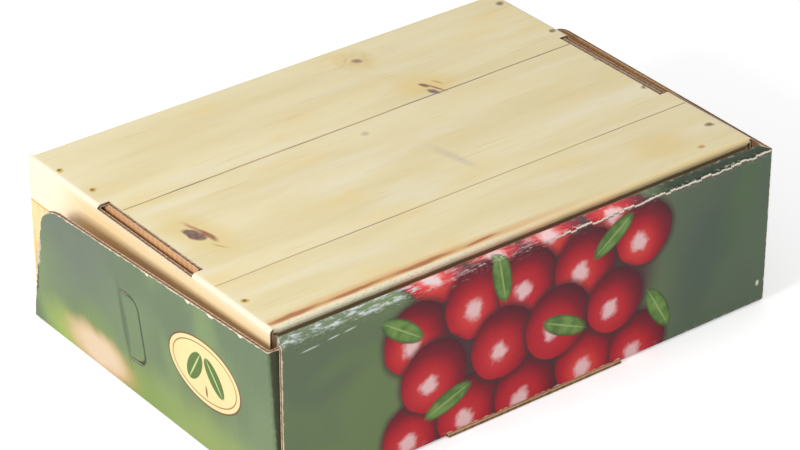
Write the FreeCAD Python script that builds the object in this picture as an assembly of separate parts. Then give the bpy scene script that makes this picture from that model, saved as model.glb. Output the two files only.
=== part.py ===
import FreeCAD, Part
import math
import os

# A fruit box folded from one sheet of thin corrugated board, standing upside down on its lid.
# The tray's mouth faces down into the lid and its wood-printed base is on top.
# X runs along the long side, Y from the lid's front wall to the hinge, Z is up.
# The origin is the middle of the lid panel's outer face, which lies on the table.
# All sizes are in millimetres.

# Driving dimensions of the board
board = 1.5            # thickness of the fluted board
fold_radius = 1.8      # outer radius of every crease
slip = 0.3             # air between faces of the folded sheet that lie side by side
flap_slack = 0.45      # air on each side of a tray flap between the two leaves of an end wall

# Driving dimensions of the tray
tray_length = 240.0
tray_width = 166.0
tray_depth = 71.4
end_wall = 5.4         # thickness of a rolled-over end wall over both leaves
tray_flap = 44.0       # length of the corner flaps caught in the end walls
end_slot_length = 65.0
end_slot_width = 5.6
end_tab_width = 62.0
tab_recess = 0.2       # how far a locking tab stays below the face it comes through

# Driving dimensions of the lid
lid_end_air = 1.5      # air between the tray's end walls and the lid's end panels at their crease
front_air = 2.7        # air between the tray and the rolled-over front wall
front_wall = 6.8       # thickness of the front wall over both leaves and the corner flap
front_height = 71.3    # height of the front wall's outer crease
rim_rise = 0.6         # how much higher the front wall's inner crease lies
front_leaf_inset = 1.35    # the front leaf is this much shorter than the lid at each end
rim_trim = 3.1         # the rim and inner leaf are this much shorter again at each end
front_tab_width = 88.0
front_slot_side = 1.0  # air beside the front tab in its slot
front_tab_proud = 0.8  # how far the front tab shows past the front wall
lid_flap = 40.0        # length of the corner flaps caught in the front wall
crease_height = 2.2    # height at which an end panel leaves its crease
end_panel_height = 69.5
end_foot_gap = 3.0     # from the hinge side of the tray to the foot of an end panel's slanted edge
end_top_gap = 31.5     # the same distance at the height of the end panel's rim
end_corner_radius = 18.0
left_splay_near = 3.5  # how far the left panel's rim leans out at the front corner
left_splay_far = 12.0  # and how far at the hinge side
right_splay_near = 1.5
right_splay_far = 5.0

# Driving dimensions of the push-in tongue in each end panel
tongue_width = 10.4
tongue_height = 33.0
tongue_corner = 6.0
tongue_crease_y = 87.2     # from the tray's front face to the tongue's crease
tongue_centre_z = 35.5
tongue_cut = 0.4

# Derived places: heights
mouth_z = board + slip
top_z = mouth_z + tray_depth
leaf_top_z = top_z - board - slip
hinge_radius = board / 2
hinge_z = hinge_radius + 0.1

# Derived places along Y, with the middle of the lid panel at zero
lid_depth = tray_width + front_air + front_wall
front_y = -lid_depth / 2
tray_near_y = front_y + front_wall + front_air
tray_far_y = tray_near_y + tray_width
tray_mid_y = (tray_near_y + tray_far_y) / 2
hinge_y = tray_far_y - hinge_radius
inner_leaf_y = front_y + front_wall
flap_face_y = front_y + board + slip

# Derived places along X
tray_end_x = tray_length / 2
tray_flap_x = tray_end_x - board - flap_slack
tray_wall_x = tray_flap_x - fold_radius
lid_end_x = tray_end_x + lid_end_air + board
front_leaf_x = lid_end_x - front_leaf_inset
rim_x = front_leaf_x - rim_trim

BEYOND = 5.0           # how far a cutting block reaches past what it cuts


def vector(plane, u, v, w):
    """Place a point of a drawing plane, at distance w along the plane's normal."""
    if plane == "XY":
        return FreeCAD.Vector(u, v, w)
    if plane == "XZ":
        return FreeCAD.Vector(u, w, v)
    return FreeCAD.Vector(w, u, v)


def rounded_wire(plane, corners, w):
    """Closed outline through corners (u, v, radius), each rounded by its own radius."""
    points = [FreeCAD.Vector(u, v, 0) for u, v, radius in corners]
    edges = []
    previous_end = None
    first_start = None
    count = len(corners)
    for index in range(count):
        here = points[index]
        radius = corners[index][2]
        to_last = (points[index - 1] - here).normalize()
        to_next = (points[(index + 1) % count] - here).normalize()
        half_angle = to_last.getAngle(to_next) / 2
        reach = radius / math.tan(half_angle)
        start = here + to_last * reach
        end = here + to_next * reach
        if previous_end is not None:
            edges.append(line(plane, previous_end, start, w))
        if radius > 0:
            bisector = (to_last + to_next).normalize()
            middle = here + bisector * (radius / math.sin(half_angle) - radius)
            arc_points = [vector(plane, p.x, p.y, w) for p in (start, middle, end)]
            edges.append(Part.Arc(*arc_points).toShape())
        if first_start is None:
            first_start = start
        previous_end = end
    edges.append(line(plane, previous_end, first_start, w))
    return Part.Wire(edges)


def line(plane, start, end, w):
    """Straight edge between two points of a drawing plane."""
    return Part.LineSegment(vector(plane, start.x, start.y, w), vector(plane, end.x, end.y, w)).toShape()


def folded_outline(path, side):
    """Section of a folded board: its outer face follows path, and the board lies on one side of it.

    path holds (u, v, outer radius) corners, and side is 1 for the left of the path and -1 for the right.
    Every fold turns towards the board, so the inner radius is the outer one less the board.
    """
    points = [FreeCAD.Vector(u, v, 0) for u, v, radius in path]
    normals = []
    for index in range(len(points) - 1):
        along = (points[index + 1] - points[index]).normalize()
        normals.append(FreeCAD.Vector(-along.y, along.x, 0) * side)
    inner = []
    for index in range(len(points)):
        before = normals[max(index - 1, 0)]
        after = normals[min(index, len(normals) - 1)]
        mitre = before + after
        offset = mitre * (2 * board / mitre.dot(mitre))
        inner_point = points[index] + offset
        inner_radius = max(path[index][2] - board, 0)
        inner.append((inner_point.x, inner_point.y, inner_radius))
    return list(path) + inner[::-1]


def extruded(plane, corners, start, end):
    """Solid with the given section, from start to end along the plane's normal."""
    face = Part.Face(rounded_wire(plane, corners, start))
    return face.extrude(vector(plane, 0, 0, end - start))


def folded_board(plane, path, side, start, end):
    """Folded board with its section in a drawing plane."""
    return extruded(plane, folded_outline(path, side), start, end)


def block(x0, x1, y0, y1, z0, z1):
    """Box between two corners."""
    return Part.makeBox(x1 - x0, y1 - y0, z1 - z0, FreeCAD.Vector(x0, y0, z0))


def mirrored_x(shape):
    """The same piece at the other end of the box."""
    return shape.mirror(FreeCAD.Vector(0, 0, 0), FreeCAD.Vector(1, 0, 0))


def tray_end_walls():
    """Base panel with a rolled-over wall at each end: down, in across the rim and up again."""
    inner_x = tray_end_x - end_wall
    path = [
        (-inner_x, leaf_top_z, 0),
        (-inner_x, mouth_z, fold_radius),
        (-tray_end_x, mouth_z, fold_radius),
        (-tray_end_x, top_z, fold_radius),
        (tray_end_x, top_z, fold_radius),
        (tray_end_x, mouth_z, fold_radius),
        (inner_x, mouth_z, fold_radius),
        (inner_x, leaf_top_z, 0),
    ]
    margin = board + slip
    return folded_board("XZ", path, -1, tray_near_y + margin, tray_far_y - margin)


def tray_outer_leaf():
    """Left end's outer leaf, which covers the ends of the long walls, with its crease to the base."""
    path = [
        (-tray_end_x, mouth_z + board, 0),
        (-tray_end_x, top_z, fold_radius),
        (-tray_wall_x, top_z, 0),
    ]
    return folded_board("XZ", path, -1, tray_near_y, tray_far_y)


def tray_long_walls():
    """Base panel with the front and hinge-side walls creased down from it."""
    path = [
        (tray_near_y, mouth_z, 0),
        (tray_near_y, top_z, fold_radius),
        (tray_far_y, top_z, fold_radius),
        (tray_far_y, hinge_z, 0),
    ]
    return folded_board("YZ", path, -1, -tray_wall_x, tray_wall_x)


def tray_corner_flaps(wall_y, inward):
    """A long wall with its two end flaps folded in behind the outer leaves; inward is 1 or -1 along Y."""
    flap_end = wall_y + inward * tray_flap
    path = [
        (-tray_flap_x, flap_end, 0),
        (-tray_flap_x, wall_y, fold_radius),
        (tray_flap_x, wall_y, fold_radius),
        (tray_flap_x, flap_end, 0),
    ]
    return folded_board("XY", path, inward, mouth_z + board + slip, leaf_top_z)


def tray_envelope():
    """Block with rounded upper edges that rounds the creases where they meet at the corners."""
    body = block(-tray_end_x, tray_end_x, tray_near_y, tray_far_y, -BEYOND, top_z)
    upper_edges = [e for e in body.Edges if abs(e.BoundBox.ZMin - top_z) < slip]
    return body.makeFillet(fold_radius, upper_edges)


def tray_end_slot():
    """Slot at the left end's crease, cut through the base and the top of the outer leaf."""
    half = end_slot_length / 2
    return block(-tray_end_x - BEYOND, -tray_end_x + end_slot_width, tray_mid_y - half, tray_mid_y + half,
                 top_z - board - tab_recess, top_z + BEYOND)


def tray_end_tab():
    """Locking tab of the left inner leaf, standing in the slot."""
    half = end_tab_width / 2
    face_x = -tray_end_x + end_wall
    return block(face_x - board, face_x, tray_mid_y - half, tray_mid_y + half,
                 leaf_top_z - board, top_z - tab_recess)


def hinge_fold():
    """Rounded foot of the hinge-side wall, on the line about which the box opens."""
    start = FreeCAD.Vector(-tray_wall_x, hinge_y, hinge_z)
    return Part.makeCylinder(hinge_radius, 2 * tray_wall_x, start, FreeCAD.Vector(1, 0, 0))


def make_tray():
    """The tray as one folded sheet, upside down."""
    outer_leaf = tray_outer_leaf()
    shape = tray_end_walls().fuse([
        outer_leaf,
        mirrored_x(outer_leaf),
        tray_long_walls(),
        tray_corner_flaps(tray_near_y, 1),
        tray_corner_flaps(tray_far_y, -1),
    ])
    shape = shape.common(tray_envelope())
    slot = tray_end_slot()
    shape = shape.cut([slot, mirrored_x(slot)])
    tab = tray_end_tab()
    shape = shape.fuse([tab, mirrored_x(tab), hinge_fold()])
    return shape.removeSplitter()


def lid_panel():
    """The large panel on the table, with the foot of each end panel creased up."""
    path = [
        (-lid_end_x, crease_height, 0),
        (-lid_end_x, 0, fold_radius),
        (lid_end_x, 0, fold_radius),
        (lid_end_x, crease_height, 0),
    ]
    far_y = hinge_y - hinge_radius - slip
    panel = folded_board("XZ", path, 1, flap_face_y, far_y)
    foot_y = tray_far_y - end_foot_gap
    corner = block(-lid_end_x - BEYOND, -lid_end_x + fold_radius, foot_y, far_y + BEYOND,
                   -BEYOND, crease_height + BEYOND)
    return panel.cut([corner, mirrored_x(corner)])


def front_wall_folds():
    """Front wall: outer leaf up from the panel, in across the rim and down again as the inner leaf."""
    path = [
        (inner_leaf_y + end_wall, 0, 0),
        (front_y, 0, fold_radius),
        (front_y, front_height, fold_radius),
        (inner_leaf_y, front_height + rim_rise, fold_radius),
        (inner_leaf_y, mouth_z, 0),
    ]
    return folded_board("YZ", path, -1, -front_leaf_x, front_leaf_x)


def rim_end_cut():
    """What is trimmed from the left end of the rim and the inner leaf, aslant across the rim."""
    corners = [
        (-front_leaf_x - BEYOND, front_y + board, 0),
        (-front_leaf_x, front_y + board, 0),
        (-rim_x, inner_leaf_y, 0),
        (-rim_x, inner_leaf_y + slip, 0),
        (-front_leaf_x - BEYOND, inner_leaf_y + slip, 0),
    ]
    return extruded("XY", corners, mouth_z, front_height + BEYOND)


def front_slot():
    """Slot at the front crease, cut through the panel and the foot of the outer leaf."""
    half = front_tab_width / 2 + front_slot_side
    return block(-half, half, front_y - BEYOND, inner_leaf_y + slip, -BEYOND, board + slip)


def front_tab():
    """Locking tab of the front wall's inner leaf, bent forward in the slot and showing at the front."""
    half = front_tab_width / 2
    path = [
        (inner_leaf_y, mouth_z + board, 0),
        (inner_leaf_y, 0, fold_radius),
        (front_y - front_tab_proud, 0, 0),
    ]
    return folded_board("YZ", path, -1, -half, half)


def end_section(reach_near, reach_far, z):
    """Section of the left end panel and its corner flap; reaches are the panel's distances from x = 0."""
    path = [
        (-lid_end_x + lid_flap, flap_face_y, 0),
        (-reach_near, flap_face_y, fold_radius),
        (-reach_far, tray_far_y, 0),
    ]
    return rounded_wire("XY", folded_outline(path, -1), z)


def end_panel_outline():
    """Side view of an end panel: square at the front, slanted and rounded towards the hinge."""
    corners = [
        (front_y, crease_height, 0),
        (tray_far_y - end_foot_gap, crease_height, 0),
        (tray_far_y - end_top_gap, end_panel_height, end_corner_radius),
        (front_y, end_panel_height, 0),
    ]
    reach = lid_end_x + left_splay_far + right_splay_far
    return extruded("YZ", corners, -reach, 0)


def tongue_slit():
    """Cut round three sides of the push-in tongue, through the left end panel."""
    crease_y = tray_near_y + tongue_crease_y
    low_z = tongue_centre_z - tongue_height / 2
    high_z = tongue_centre_z + tongue_height / 2
    outer = [
        (crease_y, low_z, 0),
        (crease_y - tongue_width, low_z, tongue_corner),
        (crease_y - tongue_width, high_z, tongue_corner),
        (crease_y, high_z, 0),
    ]
    inner = [
        (crease_y + BEYOND, low_z + tongue_cut, 0),
        (crease_y - tongue_width + tongue_cut, low_z + tongue_cut, tongue_corner - tongue_cut),
        (crease_y - tongue_width + tongue_cut, high_z - tongue_cut, tongue_corner - tongue_cut),
        (crease_y + BEYOND, high_z - tongue_cut, 0),
    ]
    reach = lid_end_x + left_splay_far + right_splay_far
    return extruded("YZ", outer, -reach, 0).cut(extruded("YZ", inner, -reach - BEYOND, BEYOND))


def end_panel(splay_near, splay_far):
    """Left end panel: it leans out from its crease, more towards the hinge, where nothing holds it."""
    foot = end_section(lid_end_x, lid_end_x, crease_height)
    rim = end_section(lid_end_x + splay_near, lid_end_x + splay_far, end_panel_height)
    panel = Part.makeLoft([foot, rim], True, True)
    return panel.common(end_panel_outline()).cut(tongue_slit())


def make_lid():
    """The lid as one folded sheet, lying on its large panel."""
    trim = rim_end_cut()
    front = front_wall_folds().cut([trim, mirrored_x(trim)])
    shape = lid_panel().fuse(front).cut(front_slot())
    shape = shape.fuse([
        front_tab(),
        end_panel(left_splay_near, left_splay_far),
        mirrored_x(end_panel(right_splay_near, right_splay_far)),
    ])
    return shape.removeSplitter()


def main():
    os.makedirs("parts", exist_ok=True)
    make_lid().exportStep("parts/lid.step")
    make_tray().exportStep("parts/tray.step")


main()
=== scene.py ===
import itertools
import math
import random

import bpy
from mathutils import Matrix, Vector, geometry, noise


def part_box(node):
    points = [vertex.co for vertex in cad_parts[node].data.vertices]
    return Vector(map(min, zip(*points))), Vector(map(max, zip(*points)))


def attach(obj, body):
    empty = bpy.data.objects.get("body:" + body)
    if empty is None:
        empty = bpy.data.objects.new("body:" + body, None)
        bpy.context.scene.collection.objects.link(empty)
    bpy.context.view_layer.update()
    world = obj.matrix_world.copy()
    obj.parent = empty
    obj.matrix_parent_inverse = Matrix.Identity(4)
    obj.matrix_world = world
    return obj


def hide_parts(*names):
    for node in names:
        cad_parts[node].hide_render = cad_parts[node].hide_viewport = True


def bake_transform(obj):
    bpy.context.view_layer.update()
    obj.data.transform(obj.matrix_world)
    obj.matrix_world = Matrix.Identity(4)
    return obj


# A fruit box folded from one printed sheet of corrugated board, standing upside down on its lid.
# X runs along the long side, Y from the lid's front wall to the hinge, Z is up.
# Sizes are in millimetres, and become metres where a mesh is made.

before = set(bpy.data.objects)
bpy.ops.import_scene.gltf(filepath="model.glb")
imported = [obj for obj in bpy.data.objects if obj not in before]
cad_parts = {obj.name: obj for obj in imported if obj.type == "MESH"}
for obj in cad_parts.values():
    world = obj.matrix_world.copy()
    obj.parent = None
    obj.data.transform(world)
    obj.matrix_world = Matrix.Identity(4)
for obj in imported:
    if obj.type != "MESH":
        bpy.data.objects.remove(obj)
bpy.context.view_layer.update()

MM = 0.001
SEED = 7

# Board
BOARD = 1.5
FOLD = 1.8
SLIP = 0.3
LINER = 0.26           # thickness of each paper face at a raw edge
RECESS = 0.16          # how deep the fluted core shows behind a raw edge
MEDIUM = 0.2           # thickness of the wavy paper in the core
FLUTE_PITCH = 3.3
FLUTE_PARTS = 8        # straight pieces that make up one wave
MESH_STEP = 3.2

# Tray, from its node's box
tray_low, tray_high = (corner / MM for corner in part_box("tray"))
TRAY_X = tray_high.x
NEAR_Y, FAR_Y = tray_low.y, tray_high.y
TOP_Z = tray_high.z
MOUTH_Z = BOARD + SLIP
HINGE_Z = 0.85
END_WALL = 5.4
TRAY_WALL_X = 116.25
TRAY_FLAP_X = 118.05
TRAY_FLAP = 44.0
FLAP_LOW_Z = MOUTH_Z + FOLD
LEAF_TOP_Z = TOP_Z - FOLD
SLOT_Y = ((NEAR_Y + FAR_Y) / 2 - 32.5, (NEAR_Y + FAR_Y) / 2 + 32.5)
SLOT_X = TRAY_X - 5.6
TAB_Y = (SLOT_Y[0] + 1.5, SLOT_Y[1] - 1.5)
TAB_TOP_Z = TOP_Z - 0.2

# Lid
LID_X = 123.0
FRONT_Y = -87.75
INNER_LEAF_Y = -80.95
FRONT_Z = 71.3
RIM_Z = 71.9
FRONT_LEAF_X = 121.65
RIM_END_X = 118.55
FLAP_FACE_Y = FRONT_Y + BOARD + SLIP
BEND_Y = FLAP_FACE_Y + FOLD
PANEL_FAR_Y = 85.95
FOOT_Y = FAR_Y - 3.0
CREASE_Z = 2.2
END_TOP_Z = 69.5
END_TOP_Y = FAR_Y - 31.5
END_ROUND = 18.0
LID_FLAP_X = 83.0
FRONT_SLOT_X = 45.0
FRONT_TAB_X = 44.0
FRONT_TAB_Y = -88.55
SLOT_END_Y = INNER_LEAF_Y + SLIP
LEFT_SPLAY = (3.5, 12.0)
RIGHT_SPLAY = (1.5, 5.0)
TONGUE_Y = NEAR_Y + 87.2
TONGUE_WIDTH = 10.4
TONGUE_Z = (19.0, 52.0)
TONGUE_ROUND = 6.0
TONGUE_CUT = 0.4
TONGUE_PUSH = 0.45     # how far the tongue's free edge is pushed in

# Print of the front wall: height of each row of fruit, and places along the wall
FRUIT_ROWS = ((77, (-46, -17, 12, 41)), (55, (-60, -32, -3, 26, 54)),
              (9, (-62, -33, -4, 25, 53)), (33, (-48, -19, 10, 40)))

# Print of the base, as (along, across) from its near left corner: gaps between planks, and nail heads
PLANK_LINES = ((6, 106.3), (236, 108.5)), ((0.6, 37.7), (239.2, 39.2))
LEFT_NAILS = (3.5, 147.9), (5.4, 126.7), (4.8, 22.3)
RIGHT_NAILS = (235.1, 156.5), (236.4, 122.6), (235.4, 90.8), (234.2, 59.8), (233.4, 19.2)

# Print of the left end panel, as (y, z): middle of the oval label, and its rings from the outside in
LABEL = (35, 39)
LABEL_RINGS = (15.6, 23.0), (14.9, 22.3), (13.1, 20.3), (12.6, 19.8)

# Camera, fitted to corners measured in the photo at 800 x 450
AZIMUTH = -37.538
ELEVATION = 30.304
ROLL = -0.036
DISTANCE = 1279.45
FOCAL_PX = 3318.93
PHOTO_WIDTH_PX = 800
SENSOR_MM = 36.0
TARGET = Vector((-35.703, -46.743, 73.2))

# Light
AMBIENT = 0.64
FLOOR_GLOW = 0.45
LAMP_DIRECTION = (-0.95, -0.10, 0.47)
LAMP_DISTANCE = 1.1
LAMP_SIZE = 0.32
LAMP_POWER = 8.2


def spread(start, end, step=MESH_STEP):
    """Evenly spaced values from start to end, both included."""
    spans = max(1, math.ceil(abs(end - start) / step - 1e-6))
    return [start + (end - start) * k / spans for k in range(spans + 1)]


def spread_through(marks, step=MESH_STEP):
    """Values spread between each mark and the next."""
    values = [marks[0]]
    for start, end in zip(marks, marks[1:]):
        values += spread(start, end, step)[1:]
    return values


def turned(first, last, steps):
    """Share and unit direction of each even step of a turn, the start left out."""
    turn = first.angle(last)
    for i in range(1, steps + 1):
        share = i / steps
        yield share, (first * math.sin((1 - share) * turn) + last * math.sin(share * turn)).normalized()


def section(corners, printed_side, arc_steps=6, step=MESH_STEP):
    """Stations (point, printed normal, distance) along a folded path of (u, v, outer radius) corners.

    printed_side is 1 where the print is on the left of the path. Every fold turns away from the print.
    """
    points = [Vector(corner[:2]) for corner in corners]
    along = [(points[k + 1] - points[k]).normalized() for k in range(len(points) - 1)]
    normals = [Vector((-d.y, d.x)) * printed_side for d in along]
    stations = [(points[0], normals[0], 0.0)]
    for k in range(1, len(points)):
        radius = corners[k][2]
        end = points[k]
        turn = 0.0
        if radius > 0:
            turn = along[k - 1].angle(along[k])
            end = points[k] - along[k - 1] * (radius * math.tan(turn / 2))
        start, _, travelled = stations[-1]
        length = (end - start).length
        if length > 1e-4:
            for place in spread(0, length, step)[1:]:
                stations.append((start.lerp(end, place / length), normals[k - 1], travelled + place))
        if radius > 0:
            centre = end - normals[k - 1] * radius
            travelled = stations[-1][2]
            for share, normal in turned(normals[k - 1], normals[k], arc_steps):
                stations.append((centre + normal * radius, normal, travelled + radius * turn * share))
    return stations


class Skin:
    """Printed face of a folded sheet: points, outward normals, places on the flat sheet, and faces."""

    def __init__(self):
        self.points = []
        self.normals = []
        self.flat = []
        self.faces = []
        self.tags = []
        self.index = {}

    def vertex(self, point, normal, flat):
        key = (round(point.x, 2), round(point.y, 2), round(point.z, 2))
        if key not in self.index:
            self.index[key] = len(self.points)
            self.points.append(point)
            self.normals.append(normal.normalized())
            self.flat.append(flat)
        return self.index[key]

    def face(self, corners, tag):
        ring = [c for k, c in enumerate(corners) if c != corners[k - 1]]
        if len(ring) < 3:
            return
        a, b, c = (self.points[i] for i in ring[:3])
        across = (b - a).cross(c - a)
        if across.dot(self.normals[ring[0]] + self.normals[ring[1]] + self.normals[ring[2]]) < 0:
            ring.reverse()
        self.faces.append(ring)
        self.tags.append(tag)

    def strip(self, stations, widths, place, tag, keep=None):
        """Grid of faces over the stations of a section and the widths across it."""
        for i in range(len(stations) - 1):
            middle = (stations[i][0] + stations[i + 1][0]) / 2
            for j in range(len(widths) - 1):
                width = (widths[j] + widths[j + 1]) / 2
                if keep and not keep(middle, width):
                    continue
                ring = []
                for station, w in ((stations[i], widths[j]), (stations[i + 1], widths[j]),
                                   (stations[i + 1], widths[j + 1]), (stations[i], widths[j + 1])):
                    ring.append(self.vertex(*place(station[0], station[1], station[2], w)))
                self.face(ring, tag)

    def boundary(self):
        """Open edges of the skin as a map from each vertex to the next, the sheet on the left."""
        directed = set()
        for ring in self.faces:
            directed.update(zip(ring, ring[1:] + ring[:1]))
        return [(a, b) for a, b in directed if (b, a) not in directed]


def edge_and_fold_places(skin, edges):
    """For each point of the skin: how far it is from a raw edge in mm, up to a limit, and 1 on a fold."""
    limit = 6.0
    cut = {i for pair in edges for i in pair}
    cells = {}
    for i in cut:
        p = skin.points[i]
        cells.setdefault((p.x // limit, p.y // limit, p.z // limit), []).append(p)
    reach = []
    for p in skin.points:
        home = (p.x // limit, p.y // limit, p.z // limit)
        around = itertools.product(*((c - 1, c, c + 1) for c in home))
        gaps = [(p - q).length for cell in around for q in cells.get(cell, ())]
        reach.append(min(gaps + [limit]))
    facing = [[] for _ in skin.points]
    for ring in skin.faces:
        a, b, c = (skin.points[i] for i in ring[:3])
        normal = (b - a).cross(c - a).normalized()
        for i in ring:
            facing[i].append(normal)
    bend = []
    for normals in facing:
        least = min((normals[0].dot(n) for n in normals), default=1.0)
        bend.append(min(1.0, (1.0 - least) / 0.03))
    return reach, bend


def add_object(name, data):
    """New object in the scene."""
    thing = bpy.data.objects.new(name, data)
    bpy.context.scene.collection.objects.link(thing)
    return thing


def make_piece(name, points, faces, slots, materials, flat, wear_and_sheen):
    """Object from points in millimetres, with materials and the two values that they read at each point."""
    mesh = bpy.data.meshes.new(name)
    mesh.from_pydata([p * MM for p in points], [], faces)
    for material in materials:
        mesh.materials.append(material)
    mesh.polygons.foreach_set("material_index", slots)
    for label, pairs, scale in (("sheet", flat, MM), ("wear_and_sheen", wear_and_sheen, 1.0)):
        layer = mesh.attributes.new(label, "FLOAT_VECTOR", "POINT")
        layer.data.foreach_set("vector", [c * scale for a, b in pairs for c in (a, b, 0.0)])
    mesh.update()
    return add_object(name, mesh)


def solid_sheet(name, skin, inks, tags):
    """Mesh of the sheet: printed face, plain face, and raw edges with the fluted core set back in them."""
    points, faces, slots, flat = [], [], [], []

    def add(point, place):
        points.append(point)
        flat.append(place)
        return len(points) - 1

    def close(ring, slot):
        faces.append(ring)
        slots.append(tags.index(slot))

    outer = [add(p, f) for p, f in zip(skin.points, skin.flat)]
    inner = [add(p - n * BOARD, f) for p, n, f in zip(skin.points, skin.normals, skin.flat)]
    for ring, tag in zip(skin.faces, skin.tags):
        close([outer[i] for i in ring], tag)
        close([inner[i] for i in reversed(ring)], "kraft")
    edges = skin.boundary()
    inward = {}
    for a, b in edges:
        along = (skin.points[b] - skin.points[a]).normalized()
        side = (skin.normals[a] + skin.normals[b]).cross(along).normalized()
        for i in (a, b):
            inward.setdefault(i, []).append(side)
    lips = {}
    for i, sides in inward.items():
        mean = sum(sides, Vector()).normalized()
        reach = RECESS / max(0.6, mean.dot(sides[0]))
        p, n, f = skin.points[i], skin.normals[i], skin.flat[i]
        back = mean * reach
        lips[i] = (add(p - n * LINER, f), add(p - n * LINER + back, f),
                   add(p - n * (BOARD - LINER) + back, f), add(p - n * (BOARD - LINER), f), mean, reach)
    for a, b in edges:
        la, lb = lips[a], lips[b]
        close([outer[b], outer[a], la[0], lb[0]], "lip")
        close([lb[0], la[0], la[1], lb[1]], "core")
        close([lb[1], la[1], la[2], lb[2]], "core")
        close([lb[2], la[2], la[3], lb[3]], "core")
        close([lb[3], la[3], inner[a], inner[b]], "lip")
    flute_ribbons(skin, edges, lips, add, close)
    edge, bend = edge_and_fold_places(skin, edges)
    wear_and_sheen = list(zip(edge, bend)) * 2
    wear_and_sheen += [(0.0, 0.0)] * (len(points) - len(wear_and_sheen))
    piece = make_piece(name, points, faces, slots, [inks[tag] for tag in tags], flat, wear_and_sheen)
    piece.data.polygons.foreach_set("use_smooth", [True] * len(faces))
    piece.data.set_sharp_from_angle(angle=math.radians(40))
    return piece


def flute_ribbons(skin, edges, lips, add, close):
    """The wavy paper of the core, seen at every raw edge. Flutes run along the sheet's first axis."""
    following = {}
    for a, b in edges:
        following.setdefault(a, []).append(b)
    swing = (BOARD - 2 * LINER - MEDIUM) / 2
    shift = 0.02
    while following:
        start = next(iter(following))
        loop = []
        here = start
        while here in following and (here != start or not loop):
            loop.append(here)
            nxt = following[here].pop()
            if not following[here]:
                del following[here]
            here = nxt
        rings = []
        for a, b in zip(loop, loop[1:] + loop[:1]):
            flat_a, flat_b = skin.flat[a], skin.flat[b]
            parts = max(1, math.ceil(abs(flat_b[1] - flat_a[1]) / (FLUTE_PITCH / FLUTE_PARTS)))
            for i in range(parts):
                t = i / parts
                p = skin.points[a].lerp(skin.points[b], t)
                n = skin.normals[a].lerp(skin.normals[b], t).normalized()
                back = lips[a][4].lerp(lips[b][4], t).normalized()
                reach = lips[a][5] * (1 - t) + lips[b][5] * t
                u, v = (from_a * (1 - t) + from_b * t for from_a, from_b in zip(flat_a, flat_b))
                depth = BOARD / 2 + swing * math.sin(2 * math.pi * v / FLUTE_PITCH)
                ring = []
                for across, along in ((-1, shift), (1, shift), (1, reach), (-1, reach)):
                    ring.append(add(p - n * (depth + across * MEDIUM / 2) + back * along, (u, v)))
                rings.append(ring)
        for here, nxt in zip([rings[-1]] + rings, rings):
            for c in range(4):
                close([here[c], nxt[c], nxt[(c + 1) % 4], here[(c + 1) % 4]], "medium")


def add_tray_base(skin, xs, ys):
    """Base panel, with a slot at each end."""
    def keep(middle, y):
        if abs(middle.x) > SLOT_X and SLOT_Y[0] < y < SLOT_Y[1]:
            return False
        return NEAR_Y + FOLD < y < FAR_Y - FOLD

    stations = [(Vector((x, TOP_Z)), Vector((0, 1)), x) for x in xs]
    up = Vector((0, 0, 1))
    skin.strip(stations, ys, lambda p, n, s, y: (Vector((p.x, y, p.y)), up, (p.x, y)), "wood", keep)


def add_tray_end(skin, side, ys):
    """End wall: outer leaf, rolled-over rim, inner leaf and locking tab."""
    def place(p, n, s, y):
        beyond = TRAY_X - FOLD + s
        return Vector((-side * p.x, y, p.y)), Vector((-side * n.x, 0, n.y)), (side * beyond, y)

    def beyond_leaf(length):
        return lambda p, n, s, y: place(p, n, s + length, y)

    outer = section([(-TRAY_X + FOLD, TOP_Z, 0), (-TRAY_X, TOP_Z, FOLD), (-TRAY_X, FLAP_LOW_Z, 0)], -1)
    skin.strip(outer, ys, place, "ends",
               lambda m, y: m.y < LEAF_TOP_Z or not SLOT_Y[0] < y < SLOT_Y[1])
    inner_x = -TRAY_X + END_WALL
    rim = section([(-TRAY_X, FLAP_LOW_Z, 0), (-TRAY_X, MOUTH_Z, FOLD), (inner_x, MOUTH_Z, FOLD),
                   (inner_x, LEAF_TOP_Z, 0)], -1)
    narrow = [y for y in ys if NEAR_Y + FOLD - 0.01 < y < FAR_Y - FOLD + 0.01]
    skin.strip(rim, narrow, beyond_leaf(outer[-1][2]), "ends")
    tab = section([(inner_x, LEAF_TOP_Z, 0), (inner_x, TAB_TOP_Z, 0)], -1)
    tab_ys = [y for y in ys if TAB_Y[0] - 0.01 < y < TAB_Y[1] + 0.01]
    skin.strip(tab, tab_ys, beyond_leaf(outer[-1][2] + rim[-1][2]), "ends")


def add_tray_long_wall(skin, side, xs, levels):
    """Long wall with its crease to the base, and the corner flaps at its ends; side is -1 near, 1 far."""
    wall_y = NEAR_Y if side < 0 else FAR_Y
    low = MOUTH_Z if side < 0 else HINGE_Z

    def place(p, n, s, x):
        flat = (x, wall_y - side * FOLD + side * s)
        return Vector((x, side * p.x, p.y)), Vector((0, side * n.x, n.y)), flat

    start = side * wall_y
    corners = [(start - FOLD, TOP_Z, 0), (start, TOP_Z, FOLD)]
    corners += [(start, z, 0) for z in reversed(levels[:-1])] + [(start, low, 0)]
    narrow = [x for x in xs if abs(x) < TRAY_WALL_X + 0.01]
    skin.strip(section(corners, 1), narrow, place, "wood")
    fold = section([(start - FOLD, TOP_Z, 0), (start, TOP_Z, FOLD), (start, LEAF_TOP_Z, 0)], 1)
    for end in (-1, 1):
        skin.strip(fold, [x for x in xs if end * x > TRAY_WALL_X - 0.01], place, "wood")
    flap = section([(TRAY_WALL_X, start, 0), (TRAY_FLAP_X, start, FOLD),
                    (TRAY_FLAP_X, start - TRAY_FLAP, 0)], 1)
    for end in (-1, 1):
        def place_flap(p, n, s, z):
            flat = (end * (TRAY_WALL_X + s), wall_y + side * (TOP_Z - z))
            return Vector((end * p.x, side * p.y, z)), Vector((end * n.x, side * n.y, 0)), flat

        skin.strip(flap, levels, place_flap, "wood")


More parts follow.
